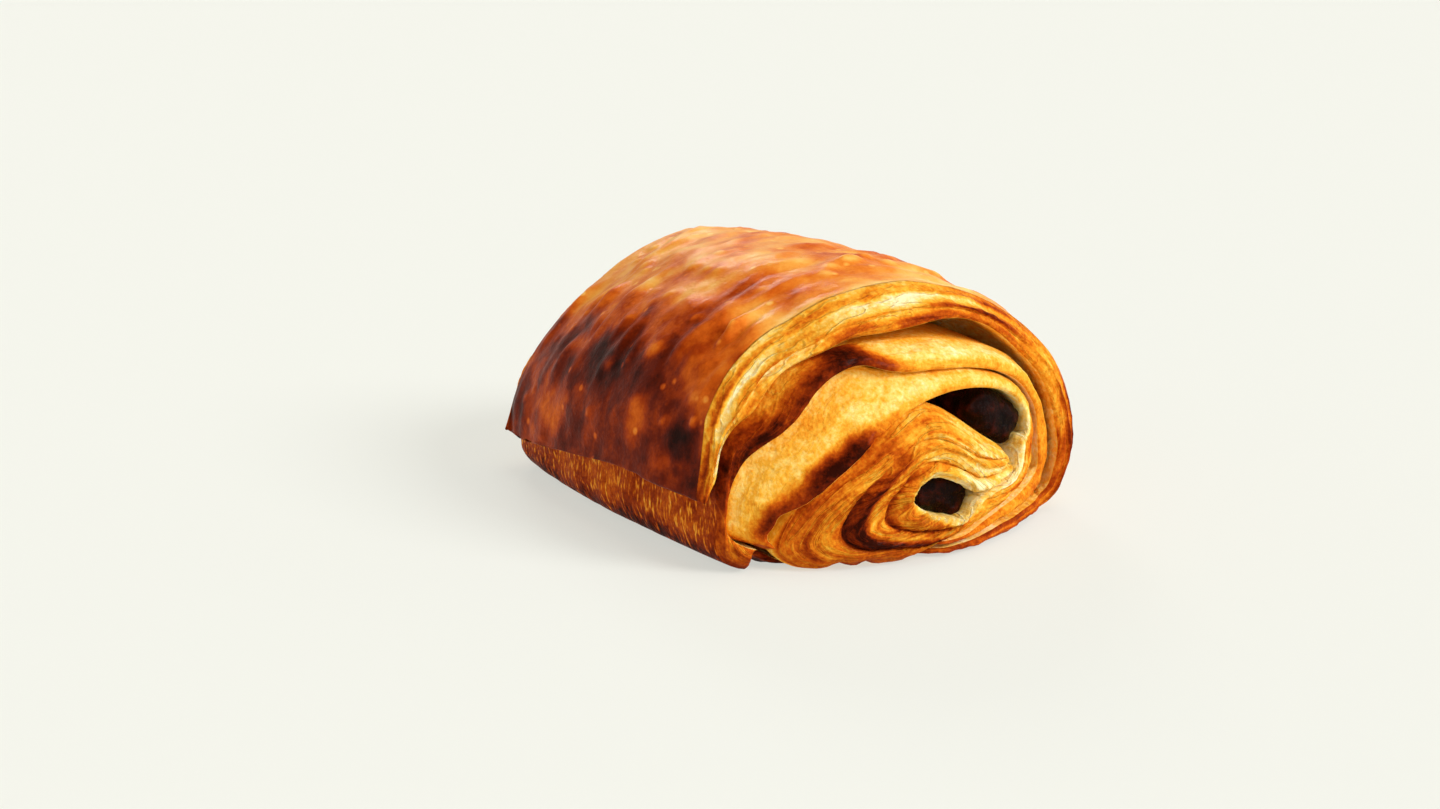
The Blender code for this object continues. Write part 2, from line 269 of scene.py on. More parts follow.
def sheetRoute():
    # the sheet's two skins and its edge values at even steps along it
    turns = np.array(upperCover + secondCover + crust)
    heartRows = np.array(heart)
    stations = np.zeros((len(heartRows) + len(turns), 9))
    stations[:firstTurn, 0:4] = heartRows[:, 0:4]
    stations[:firstTurn, 4] = np.hypot(*(heartRows[:, 0:2] - heartRows[:, 2:4]).T)
    stations[:firstTurn, 7] = heartToast
    stations[:firstTurn, 8] = heartRows[:, 4]
    stations[firstTurn:, 0:2] = turns[:, 0:2]
    stations[firstTurn:, 4:9] = turns[:, 2:7]
    # the inner skin of the turns: square to the outer skin, at the stated thickness
    run = np.gradient(stations[:, 0:2], axis=0)
    for _ in range(2):
        run[1:-1] = (run[:-2] + 2 * run[1:-1] + run[2:]) / 4
    run /= np.linalg.norm(run, axis=1)[:, None]
    inward = np.stack([-run[:, 1], run[:, 0]], axis=1)
    late = slice(firstTurn, None)
    stations[late, 2:4] = stations[late, 0:2] + inward[late] * stations[late, 4:5]
    for at, innerX, innerZ in tightTurns:
        stations[at, 2:4] = (innerX, innerZ)
    numbers = np.linspace(0, len(stations) - 1, grid["samples"])
    fine = throughPoints(stations, numbers)
    middle = 0.65 * fine[:, 0:2] + 0.35 * fine[:, 2:4]
    length = np.concatenate([[0.0], np.cumsum(np.hypot(*np.diff(middle, axis=0).T))])
    even = np.linspace(0, length[-1], int(length[-1] / grid["step"]))
    where = np.interp(even, length, numbers)
    rows = throughPoints(stations, where)
    rows[:, 5:9] = np.clip(rows[:, 5:9], 0.0, None)
    return pressTurns(rows, where), where, even


def pressTurns(rows, where):
    # where the line from the outer skin to the inner skin meets an earlier turn's outer skin, the sheet
    # ends a small gap short of it
    earlier = 25                # steps back along the sheet from which a turn counts as an earlier one
    outer, inner = rows[:, 0:2], rows[:, 2:4]
    step = inner - outer
    thick = np.linalg.norm(step, axis=1)
    ray = step / thick[:, None]
    a, b = outer[:-1], outer[1:]
    along = b - a
    turned = ray[:, None, 0] * along[None, :, 1] - ray[:, None, 1] * along[None, :, 0]
    toFirst = a[None] - outer[:, None]
    with np.errstate(divide="ignore", invalid="ignore"):
        distance = (toFirst[..., 0] * along[None, :, 1] - toFirst[..., 1] * along[None, :, 0]) / turned
        share = (toFirst[..., 0] * ray[:, None, 1] - toFirst[..., 1] * ray[:, None, 0]) / turned
    early = np.arange(len(a))[None, :] < np.arange(len(outer))[:, None] - earlier
    hit = early & (distance > 0) & (share >= 0) & (share <= 1) & (distance < 3.0 * thick[:, None] + 2)
    reach = np.where(hit, distance, np.inf).min(axis=1) - roll["gap"]
    late = where > firstTurn - 1
    newThick = np.where(late & (reach < thick), np.maximum(roll["leastSheet"], reach), thick)
    kernel = np.hanning(9) / np.hanning(9).sum()
    eased = np.convolve(np.pad(newThick, 4, mode="edge"), kernel, mode="valid")
    newThick = np.where(late, np.minimum(eased, newThick + 0.2), newThick)
    rows = rows.copy()
    rows[:, 2:4] = outer + ray * newThick[:, None]
    rows[:, 4] = newThick
    return rows


def dome(x, z):
    # 1 at the dome's middle and 0 at its reach: 1 - (across / reach)^2 - (up / reach)^2
    across = (x - roll["domeCentre"][0]) / roll["domeReach"][0]
    up = (z - roll["domeCentre"][1]) / roll["domeReach"][1]
    return np.maximum(0.0, 1.0 - across ** 2 - up ** 2)


def shaped(x, y, z):
    # the section swells by the belly, which falls off as the square towards the ends and the heart, and
    # towards the back its -x side slumps
    out = np.hypot(x - roll["bellyCentre"][0], z - roll["bellyCentre"][1]) / roll["bellyReach"]
    share = np.minimum(1.0, out) ** 2
    along = np.minimum(1.0, np.abs(y) / np.where(y > 0, roll["backRim"], roll["frontRim"]))
    grow = roll["belly"] * (1 - along ** 2) - np.where(y > 0, roll["backTaper"] * along ** 2, 0.0)
    wideX, wideZ = x * (1 + grow * share), z * (1 + grow * share)
    left = np.clip(-x / 30.0, 0, 1) * share * np.clip((y + 10.0) / 40.0, 0, 1)
    height = wideZ / roll["slumpHeight"]
    slumpX = roll["slumpWidth"] * left * np.clip(1 - np.abs(height - 1), 0, 1)
    return wideX - slumpX, y, wideZ - roll["slumpDrop"] * left * np.clip(height, 0, 1)


def wandered(t, where):
    # layers don't keep an even distance: the share across the sheet wanders along it
    return t + 0.045 * cloud(0.5 * where[:, None], 0.0, 0.0, 2.0, 95, 2)


def crustShare(where):
    # 1 on the crust turn, and less in places where its layers don't show
    onCrust = smooth(where, firstCrust - 2, firstCrust + 1)[:, None]
    return onCrust * (0.35 + 0.65 * smooth(cloud(0.4 * where[:, None], 0.0, 0.0, 1.6, 97, 2), -0.5, 0.3))


def heartShare(where):
    # 1 in the heart, falling to 0 at the first turn
    return smooth(firstTurn + 1.0 - where, 0.0, 3.0)[:, None]


def sheetGrid(rows, where):
    # the loop round the sheet at each step: outer skin to the back, back edge, inner skin to the front,
    # front edge. Returns x, y, z and t, which is 0 on the outer skin and 1 on the inner.
    outer, inner = rows[:, None, 0:2], rows[:, None, 2:4]
    thick, fall, crest = rows[:, None, 4], rows[:, None, 5], rows[:, None, 6]
    inHeart = heartShare(where)

    def edge(t, rim, domeRise, lead):
        # the end's surface is the rim plus the dome, less the fall of the outer side, plus the crest at the
        # inner side and the layers' bells, less the two rounded edges' powers of 2.2
        point = outer * (1 - t)[..., None] + inner * t[..., None]
        rise = domeRise * dome(point[..., 0], point[..., 1])
        back = fall * (1 - smooth(t, 0.0, 0.5))
        back = back - crest * smooth(t * thick, thick - ends["crestFrom"], thick - ends["crestTo"])
        uneven = wandered(t, where)
        relief = sum(out * bump(uneven, at, wide) for at, out, wide, _ in heartLayers)
        back = back - lead * inHeart * np.minimum(1.0, thick / ends["heartFull"]) * relief
        relief = sum(out * bump(uneven, at, wide) for at, out, wide, _ in crustLayers)
        back = back - lead * crustShare(where) * np.minimum(1.0, thick / ends["crustFull"]) * relief
        tucked = (1 - inHeart) * smooth(4.4 - point[..., 1], 0.0, 1.2) * smooth(2.0 - point[..., 0], 0.0, 8.0)
        back = back + ends["tuck"] * tucked * smooth(point[..., 0] + 31.0, 0.0, 3.0)
        rounding = np.minimum(ends["roundingShare"] * thick, ends["rounding"])
        outerRound = np.clip(1 - t * thick / rounding, 0, 1) ** 2.2
        innerRound = np.clip(1 - (1 - t) * thick / rounding, 0, 1) ** 2.2
        return point, rim + rise - back - rounding * (outerRound + 0.8 * innerRound)

    front = (roll["frontRim"], roll["frontDome"], 1.0)
    rear = (roll["backRim"], roll["backDome"], ends["backLayers"])
    count = len(rows)
    zero, one = np.zeros((count, 1)), np.ones((count, 1))
    frontOuter, backOuter = edge(zero, *front)[1], edge(zero, *rear)[1]
    frontInner, backInner = edge(one, *front)[1], edge(one, *rear)[1]
    k = np.linspace(0, 1, grid["skin"])[None]
    k = k - 0.055 * np.sin(2 * np.pi * k)          # closer together towards both ends
    skinY = -frontOuter + k * (frontOuter + backOuter)
    skinPoint = np.broadcast_to(outer, (count, grid["skin"], 2))
    tBack = np.linspace(0, 1, grid["backEdge"] + 2)[None, 1:-1]
    tBack = np.broadcast_to(tBack, (count, grid["backEdge"]))
    backPoint, backY = edge(tBack, *rear)
    k = np.linspace(0, 1, grid["inside"])[None] ** 0.55
    insideY = backInner - k * (frontInner + backInner)
    insidePoint = np.broadcast_to(inner, (count, grid["inside"], 2))
    tFront = np.linspace(1, 0, grid["frontEdge"] + 2)[None, 1:-1]
    tFront = np.broadcast_to(tFront, (count, grid["frontEdge"]))
    frontPoint, frontY = edge(tFront, *front)
    points = np.concatenate([skinPoint, backPoint, insidePoint, frontPoint], axis=1)
    x, z = points[..., 0], points[..., 1]
    y = np.concatenate([skinY, backY, insideY, -frontY], axis=1)
    t = np.concatenate([0 * skinY, tBack, 0 * insideY + 1, tFront], axis=1)
    # the heart's underside comes down to the table at the front, and rides over the base turns inside
    behind = y + frontOuter
    z = z + np.maximum(0.0, roll["baseLift"] - z) * inHeart * smooth(behind, 0.5, 4.5) * (1 - t)
    # the feet at the front part with small notches
    notch = sum(height * bump(x, at, wide) for at, height, wide in ends["notches"])
    z = z + notch * smooth(3.0 - z, 0.0, 2.5) * smooth(7.0 - behind, 0.0, 5.0)
    return x, y, z, t


def openRound(x, z, baton, weight):
    # a point inside the baton's rounded outline moves straight out from its middle to a little outside it:
    # with (|a|^4 + |b|^4)^(1/4) below the clearance, both are divided by it
    clearance = 1.1
    turn = math.radians(baton["tilt"])
    a = (x - baton["x"]) * math.cos(turn) + (z - baton["z"]) * math.sin(turn)
    b = -(x - baton["x"]) * math.sin(turn) + (z - baton["z"]) * math.cos(turn)
    size = ((np.abs(a) / (baton["width"] / 2)) ** 4 + (np.abs(b) / (baton["height"] / 2)) ** 4) ** 0.25
    push = 1 + weight * (clearance / np.maximum(size, 0.4) - 1) * (size < clearance)
    return turnedBack(a * push, b * push, baton)


def turnedBack(a, b, baton):
    # from the baton's own section to the roll's x and z
    turn = math.radians(baton["tilt"])
    return (baton["x"] + a * math.cos(turn) - b * math.sin(turn),
            baton["z"] + a * math.sin(turn) + b * math.cos(turn))


def gridNormals(x, y, z):
    # the cross product of the grid's two directions, which run along the sheet and round its section
    p = np.stack([x, y, z], axis=-1)
    along = np.gradient(p, axis=0)
    across = (np.roll(p, -1, axis=1) - np.roll(p, 1, axis=1)) / 2
    normal = np.cross(across, along)
    return normal / np.maximum(np.linalg.norm(normal, axis=-1, keepdims=True), 1e-9)


def roundedEnds(rows, where, length):
    # three more rows at each end of the sheet, drawn in to its middle like a quarter circle
    def extra(row, run, reach):
        run = run / np.linalg.norm(run)
        middle = (row[0:2] + row[2:4]) / 2
        made = []
        for a in (0.45, 0.8, 0.97):
            new = row.copy()
            out = run * row[4] / 2 * a * reach
            for part in (slice(0, 2), slice(2, 4)):
                new[part] = middle + (row[part] - middle) * math.sqrt(1 - a * a) + out
            made.append(new)
        return made

    first = extra(rows[0], rows[0, 0:2] - rows[3, 0:2], 0.45)[::-1]
    last = extra(rows[-1], rows[-1, 0:2] - rows[-4, 0:2], 0.8)
    where = np.concatenate([[where[0]] * 3, where, [where[-1]] * 3])
    length = np.concatenate([[length[0]] * 3, length, [length[-1]] * 3])
    return np.vstack([first, rows, last]), where, length


def closeMouths(sheet, x, y, z):
    # behind the open mouths the inner skin comes down, by cubics along the sheet and along y
    rows, where = sheet["rows"], sheet["where"]
    inward = rows[:, None, 2:4] - rows[:, None, 0:2]
    inward = inward / np.linalg.norm(inward, axis=-1, keepdims=True)
    arch = sum(much * smooth(where, *start) * (1 - smooth(where, *stop)) for start, stop, much in mouths)
    deep = smooth(y - sheet["frontY"], 4.0, 16.0) * smooth(sheet["backY"] - y, 4.0, 16.0)
    sag = roll["archSag"] * arch[:, None] * deep * (sheet["t"] == 1)
    return x + sag * inward[..., 0], z + sag * inward[..., 1]


def raggedEnds(sheet, x, y, z):
    # the whole edge wanders in and out by noise along the sheet, and the torn end from side to side as well
    near = 1 - smooth(np.minimum(y - sheet["frontY"], sheet["backY"] - y), 0.0, 7.0)
    wander = cloud(sheet["s"], sheet["t"] * 4.0, np.sign(y) * 20.0, ends["raggedSize"], 11, 4)
    y = y + np.sign(y) * ends["ragged"] * wander * near
    torn = (sheet["where"] < firstTurn - 4)[:, None] * smooth(sheet["t"], 0.84, 0.97) * near
    x = x + torn * ends["torn"] * cloud(x, y, z, ends["tornSize"], 13)
    z = z + torn * ends["torn"] * cloud(x, y, z, ends["tornSize"], 15)
    return x, y, z


def layDownSeam(sheet, x, y, z):
    # away from the front the seam's lip thins out and lies down on the turn below
    rows = sheet["rows"]
    lip = smooth(sheet["where"], seamStation - 2.8, seamStation)[:, None]
    lip = skin["seamThinning"] * lip * smooth(y, -24.0, -4.0) * sheet["onSkin"]
    innerX, _, innerZ = shaped(rows[:, None, 2], y, rows[:, None, 3])
    return x + lip * (innerX - x), z + lip * (innerZ - z)


def endRelief(sheet, x, y, z):
    # open ends: thin layers that follow the sheet, opened in places, over an uneven crumb; all of it noise
    s, depth, thick = sheet["s"], sheet["depth"], sheet["thick"]
    bent = depth / ends["layerStep"] + 0.6 * cloud(s, depth, 0.0, 8.0, 23)
    layerWave = valueNoise(s / ends["layerLength"], bent, 0.5, 21)
    opened = smooth(cloud(s, depth * 1.5, 3.0, 9.0, 25), -0.2, 0.5)
    rise = ends["layer"] * sheet["layered"] * layerWave * (0.4 + opened)
    rise = rise + ends["crumb"] * cloud(x, y, z, ends["crumbSize"], 31)
    rise = rise + ends["swell"] * cloud(x, y, z, ends["swellSize"], 35)
    return rise * sheet["onEnd"] * smooth(depth, 0.0, 0.8) * smooth(thick - depth, 0.0, 0.5)


def blisterRise(sheet, y):
    # blisters are bells scattered over the crust
    draws = np.random.default_rng(5)
    s = sheet["s"]
    low, high, least, most = skin["blister"]
    crustLength = s[sheet["crustRow"][:, 0]]
    rise = np.zeros(y.shape)
    for _ in range(skin["blisters"]):
        at, away = draws.uniform(crustLength.min(), crustLength.max()), draws.uniform(-40, 42)
        wide = low + (high - low) * draws.random() ** 2
        tall = draws.uniform(least, most)
        rise += tall * np.exp(-(((s - at) / wide) ** 2 + ((y - away) / wide) ** 2))
    return rise


def crustRelief(sheet, x, y, z, blisters):
    # the crust: wrinkles run round the roll, so the noise is drawn out in x and z, over broad swells. A
    # wrinkle is sqrt(noise^2 + 0.07), about the distance of the noise from zero: round ridges, soft valleys
    warp = skin["wrinkleWander"] * cloud(x, y, z, 16.0, 41)
    fold = cloud(x * 0.4, y + warp, z * 0.4, skin["wrinkleEvery"], 43, 2)
    fold = 1.8 * (np.sqrt(fold ** 2 + 0.07) - 0.38)
    foldHere = smooth(cloud(x, y, z, 20.0, 47, 2), -0.5, 0.3) * (0.25 + 0.75 * smooth(z, 19.0, 27.0))
    broad = 0.7 * cloud(x, y * 0.8, z, 15.0, 51, 2) + 0.4 * cloud(x, y, z, 5.5, 57, 2)
    rise = skin["wrinkle"] * fold * (0.15 + 0.85 * foldHere) + skin["swell"] * broad
    rise = rise + skin["grain"] * cloud(x, y, z, 1.9, 53)
    rim = smooth(y - sheet["frontY"], 0.0, 3.0) * smooth(sheet["backY"] - y, 0.0, 3.0)
    rise = (rise + blisters) * (0.25 + 0.75 * rim) * sheet["onSkin"] * sheet["inSight"]
    return rise * smooth(z, 0.3, 4.0)


def endBake(sheet, x, y, z):
    # the ends' tone: the stated one, streaks that follow the layers, the toasted crest and each layer's bell
    rows, s, depth, thick = sheet["rows"], sheet["s"], sheet["depth"], sheet["thick"]
    toast, tone = rows[:, None, 7], rows[:, None, 8]
    streak = valueNoise(s / 11.0, depth / 0.7, 0.0, 81)
    bake = tone + 0.05 + 0.16 * streak * sheet["layered"] + 0.10 * cloud(x, y, z, 5.0, 83)
    band = 1.0 + 2.4 * toast + 0.5 * cloud(s, 0.0, 0.0, 4.0, 84)
    crestShare = smooth(depth, thick - 1.25 * band, thick - 0.45 * band)
    bake = bake + (toast - tone) * crestShare * (0.95 + 0.25 * cloud(s, depth, 0.0, 4.0, 85))
    uneven = wandered(sheet["t"], sheet["where"])
    full = heartShare(sheet["where"]) * smooth(thick, 4.0, 10.0) * (0.25 + 0.75 * (1 - smooth(z, 9.0, 20.0)))
    # the heart's first bell darkens its recess under the next turn's crest: painted shade
    bake = bake + full * sum(more * bump(uneven, at, wide) for at, _, wide, more in heartLayers)
    layers = sum(more * bump(uneven, at, wide) for at, _, wide, more in crustLayers)
    bake = bake + crustShare(sheet["where"]) * layers
    return bake + 0.10 * (1 - smooth(depth, 0.2, 1.3))


def skinBake(sheet, x, y, z, blisters):
    # the crust's tone: noise in three sizes, darker on the -x side (partly its bake, partly painted shade),
    # paler near the front rim on top (partly its bake, partly painted sheen) and on blisters, eased off
    # towards the most by a tanh, and the dark patches as bells, two of them painted shade
    # darker on the -x side, away from the key sun: partly a darker bake, partly painted shade
    shoulder = smooth(-x, 20.0, 33.0)
    # paler near the front rim on top: partly a paler bake, partly painted sheen
    rimPaleAndSheen = (1 - smooth(y - sheet["frontY"], 0.0, 12.0)) * smooth(z, 20.0, 32.0)
    bake = bakes["crust"] + bakes["shoulder"] * shoulder - bakes["rimPaleAndSheen"] * rimPaleAndSheen
    bake = bake + bakes["broad"] * cloud(x, y * 0.7, z, bakes["broadSize"], 87, 2)
    bake = bake + bakes["mottle"] * cloud(x, y, z, bakes["mottleSize"], 86, 3)
    ease, room = bakes["easeFrom"], bakes["most"] - bakes["easeFrom"]
    bake = np.minimum(bake, ease + room * np.tanh((bake - ease) / room))
    bake = bake + bakes["streak"] * cloud(x * 0.3, y, z * 0.3, 3.0, 89)
    bake = bake - bakes["blister"] * smooth(blisters, 0.1, 0.4)
    for patchX, patchY, patchZ, radius, more in darkPatches:
        away = np.hypot(np.hypot(x - patchX, y - patchY), z - patchZ) / radius
        bake = bake + more * np.exp(-(away * (1 + 0.7 * cloud(x, y, z, 5.0, 93))) ** 2)
    low = bakes["lowSide"] + bakes["lowMottle"] * cloud(x, y, z, 8.0, 90)
    low = low + bakes["under"] * (1 - smooth(z, 0.5, 7.0))
    bake = np.where(sheet["lowSide"], low, bake)
    return np.where(sheet["inSight"], bake, bakes["hidden"])


def insideBake(sheet, x, y, z):
    # the inner skin is pale, and darker only near the seam, where its edge shows
    nearSeam = smooth(sheet["where"], seamStation - 5, seamStation - 3)[:, None]
    bake = bakes["inside"] + 0.08 * cloud(x, y, z, 6.0, 91) + bakes["insideCrust"] * sheet["crustRow"]
    return bake + bakes["insideSeam"] * nearSeam


def makeDough():
    rows, where, length = sheetRoute()
    rows, where, length = roundedEnds(rows, where, length)
    x, y, z, t = sheetGrid(rows, where)
    column = np.arange(x.shape[1])[None, :]
    sheet = {"rows": rows, "where": where, "s": length[:, None], "t": t, "thick": rows[:, None, 4]}
    sheet["depth"] = t * sheet["thick"]
    sheet["frontY"], sheet["backY"] = y[:, 0:1], y[:, grid["skin"] - 1: grid["skin"]]
    sheet["onSkin"] = np.broadcast_to(column < grid["skin"], x.shape)
    onBack = (column >= grid["skin"]) & (column < grid["skin"] + grid["backEdge"])
    onFront = column >= grid["skin"] + grid["backEdge"] + grid["inside"]
    sheet["onEnd"] = np.broadcast_to(onBack | onFront, x.shape)
    sheet["crustRow"] = (where > firstCrust - 1)[:, None]
    sheet["lowSide"] = ((where > lowSideFrom) & (where < firstCrust))[:, None]
    sheet["inSight"] = sheet["crustRow"] | sheet["lowSide"]
    sheet["layered"] = np.interp(where, *zip(*layeredAt))[:, None]

    deep = smooth(y - sheet["frontY"], 1.0, 6.0) * smooth(sheet["backY"] - y, 1.0, 5.0)
    x, z = closeMouths(sheet, x, y, z)
    for baton in batons:
        x, z = openRound(x, z, baton, deep)
    x, y, z = raggedEnds(sheet, x, y, z)
    x, y, z = shaped(x, y, z)
    x, z = layDownSeam(sheet, x, y, z)
    normal = gridNormals(x, y, z)
    blisters = blisterRise(sheet, y)
    move = crustRelief(sheet, x, y, z, blisters) + endRelief(sheet, x, y, z)
    x, y, z = x + move * normal[..., 0], y + move * normal[..., 1], z + move * normal[..., 2]
    z = np.maximum(z, 0.02)
    if not np.isfinite(x + y + z).all():
        raise ValueError("the sheet has points that are not numbers")

    # how baked each point is, and whether it is washed crust or open crumb
    ofEnd = endBake(sheet, x, y, z)
    bake = np.where(sheet["onEnd"], ofEnd, insideBake(sheet, x, y, z))
    bake = np.where(sheet["onSkin"], skinBake(sheet, x, y, z, blisters), bake)
    washed = sheet["onSkin"] * np.where(sheet["crustRow"], 1.0, 0.35 * sheet["lowSide"])
    washed = np.maximum(washed, 0.45 * sheet["onEnd"] * smooth(ofEnd, 0.45, 0.8))
    values = {"bake": np.clip(bake, 0, 1), "washed": np.clip(washed, 0, 1),
              "openEnd": np.where(sheet["onSkin"], 0.0, 1.0),
              "lowSide": np.where(sheet["lowSide"], 1.0, 0.0) * sheet["onSkin"],
              "run": sheet["s"] + 0 * x, "depth": sheet["depth"], "layered": sheet["layered"] + 0 * x}
    return closedSheet(sheet, np.stack([x, y, z], axis=-1), values)


def closedSheet(sheet, points, values):
    # triangles round the grid, with fewer points where the outer skin is hidden, and a cap at each end
    column = np.arange(points.shape[1])
    kept = np.arange(points.shape[0] * points.shape[1]).reshape(points.shape[:2])
    lead = grid["lead"]
    coarse = np.where(column < lead, column, lead + (column - lead) // grid["coarse"] * grid["coarse"])
    coarse = np.where(column < grid["skin"], coarse, column)
    hidden = ~sheet["inSight"][:, 0]
    kept[hidden] = kept[hidden][:, coarse]
    a, b = kept[:-1], np.roll(kept[:-1], -1, axis=1)
    d, c = kept[1:], np.roll(kept[1:], -1, axis=1)
    faces = np.concatenate([np.stack([a, b, c], -1).reshape(-1, 3), np.stack([a, c, d], -1).reshape(-1, 3)])
    good = (faces[:, 0] != faces[:, 1]) & (faces[:, 1] != faces[:, 2]) & (faces[:, 0] != faces[:, 2])
    used, inverse = np.unique(faces[good], return_inverse=True)
    faces = inverse.reshape(-1, 3)
    place = np.zeros(kept.size, int)
    place[used] = np.arange(len(used))
    caps = []
    for row, turn in ((kept[0], -1), (kept[-1], 1)):
        once = row[np.sort(np.unique(row, return_index=True)[1])]
        caps.append(place[once[::turn]].tolist())
    points = points.reshape(-1, 3)[used]
    first, second, third = (points[faces[:, i]] for i in range(3))
    volume = np.einsum("ij,ij->i", first, np.cross(second, third)).sum() / 6
    if volume < 0:
        faces = faces[:, ::-1]
        caps = [cap[::-1] for cap in caps]
    obj = meshObject("baked_roll", points, faces.tolist() + caps)
    for name, value in values.items():
        layer = obj.data.attributes.new(name, "FLOAT", "POINT")
        layer.data.foreach_set("value", value.ravel()[used].astype(np.float32))
    print("rolled dough:", len(faces), "triangles,", round(abs(volume) / 1000, 1), "cubic centimetres")
    return obj


def meshObject(name, points, faces):
    # points in millimetres, in the CAD's axes before it was stood over the origin
    mesh = bpy.data.meshes.new(name)
    moved = (np.asarray(points) + placing) * mm
    mesh.from_pydata(moved.tolist(), [], faces)
    mesh.polygons.foreach_set("use_smooth", [True] * len(mesh.polygons))
    mesh.update()
    obj = bpy.data.objects.new(name, mesh)
    bpy.context.scene.collection.objects.link(obj)
    return obj


def makeBaton(baton):
    # a superellipse |a|^4 + |b|^4 = 1 swept along y, rounded at both ends, with a lumpy surface
    around, along = 72, 150
    seed = baton["seed"]
    angle = np.linspace(0, 2 * np.pi, around, endpoint=False)[None, :]
    k = np.linspace(0, 1, along)[:, None]
    k = k - 0.12 * np.sin(2 * np.pi * k)           # closer together towards both ends
    y = baton["front"] + (baton["back"] - baton["front"]) * k
    toEnd = np.minimum(y - baton["front"], baton["back"] - y)
    size = np.maximum((1 - np.clip(1 - toEnd / 1.6, 0, 1) ** 2.4) ** 0.42, 0.02)
    norm = (np.abs(np.cos(angle)) ** 4 + np.abs(np.sin(angle)) ** 4) ** -0.25
    a = baton["width"] / 2 * norm * np.cos(angle) * size
    b = baton["height"] / 2 * norm * np.sin(angle) * size
    y = y + 0 * a
    lump = baton["lump"] * cloud(a, y, b, 3.2, seed) + 0.28 * cloud(a, y, b, 1.2, seed + 5)
    lump = lump - 0.35 * smooth(cloud(a, y, b, 2.0, seed + 9), 0.3, 0.6)
    grow = 1 + lump / np.maximum(np.hypot(a, b), 1.5)
    a, b = a * grow, b * grow
    y = y + 0.7 * cloud(a, 0.0, b, 3.0, seed + 13) * (1 - smooth(toEnd, 0, 4))
    x, z = turnedBack(a, b, baton)
    points = np.stack([x.ravel(), y.ravel(), z.ravel()], axis=1)
    index = np.arange(x.size).reshape(x.shape)
    caps = [index[0].tolist(), index[-1][::-1].tolist()]
    return meshObject(baton["name"], points, quads(index).tolist() + caps)


def quads(index):
    # the four-sided faces between the rows of a grid of point numbers that closes round on itself
    p, q = index[:-1], np.roll(index[:-1], -1, axis=1)
    s, r = index[1:], np.roll(index[1:], -1, axis=1)
    return np.stack([p, s, r, q], -1).reshape(-1, 4)


def linear(red, green, blue):
    # an 0-255 screen colour as the linear colour a shader takes
    c = np.array([red, green, blue]) / 255.0
    return (*np.where(c <= 0.04045, c / 12.92, ((c + 0.055) / 1.055) ** 2.4).tolist(), 1.0)


class Nodes:
    # a short way to write a node tree
    def __init__(self, name):
        self.material = bpy.data.materials.new(name)
        self.material.use_nodes = True
        self.tree = self.material.node_tree
        self.shader = self.tree.nodes["Principled BSDF"]

    def put(self, target, name, value):
        socket = target.inputs[name]
        if isinstance(value, bpy.types.NodeSocket):
            self.tree.links.new(value, socket)
        else:
            socket.default_value = value

    def add(self, kind, settings=None, **inputs):
        made = self.tree.nodes.new(kind)
        for key, value in (settings or {}).items():
            setattr(made, key, value)
        for key, value in inputs.items():
            self.put(made, key, value)
        return made

    def math(self, operation, first, second=0.0, third=0.0, clamp=False):
        made = self.tree.nodes.new("ShaderNodeMath")
        made.operation = operation
        made.use_clamp = clamp
        for i, value in enumerate((first, second, third)):
            self.put(made, i, value)
        return made.outputs[0]

    def ramp(self, value, stops):
        made = self.tree.nodes.new("ShaderNodeValToRGB")
        self.put(made, 0, value)
        elements = made.color_ramp.elements
        while len(elements) < len(stops):
            elements.new(0.5)
        for element, (position, colour) in zip(elements, stops):
            element.position = position
            element.color = colour
        return made.outputs[0]

    def noise(self, where, size, detail=3.0, rough=0.55):
        # size in millimetres
        scale = 1.0 / (size * mm)
        made = self.add("ShaderNodeTexNoise", Vector=where, Scale=scale, Detail=detail, Roughness=rough)
        return made.outputs["Fac"]

    def cells(self, where, size):
        # distance to the middle of the nearest cell, size in millimetres
        return self.add("ShaderNodeTexVoronoi", Vector=where, Scale=1.0 / (size * mm)).outputs["Distance"]

    def mix(self, kind, share, first, second):
        # the sockets of a mix node that hold its first and second value, by the kind of value
        at = {"FLOAT": 2, "RGBA": 6}[kind]
        made = self.add("ShaderNodeMix", {"data_type": kind})
        self.put(made, 0, share)
        self.put(made, at, first)
        self.put(made, at + 1, second)
        return made.outputs[at // 2 - 1]

    def attribute(self, name):
        return self.add("ShaderNodeAttribute", {"attribute_name": name}).outputs["Fac"]

    def finish(self, values):
        for name, value in values.items():
            self.put(self.shader, name, value)

    def bump(self, height, deep):
        # deep is in millimetres
        made = self.add("ShaderNodeBump", Strength=0.9, Distance=deep * mm, Height=height)
        self.put(self.shader, "Normal", made.outputs[0])


crumbColours = [
    (0.0, linear(252, 232, 176)), (0.15, linear(248, 208, 112)), (0.30, linear(240, 174, 56)),
    (0.45, linear(226, 138, 30)), (0.60, linear(196, 92, 16)), (0.76, linear(152, 54, 10)),
    (0.90, linear(104, 30, 7)), (1.0, linear(54, 13, 5)),
]
crustColours = [
    (0.0, linear(248, 204, 120)), (0.2, linear(238, 166, 72)), (0.36, linear(226, 128, 40)),
    (0.50, linear(204, 92, 20)), (0.64, linear(160, 56, 8)), (0.78, linear(104, 28, 5)),
    (0.90, linear(60, 14, 4)), (1.0, linear(34, 8, 3)),
]


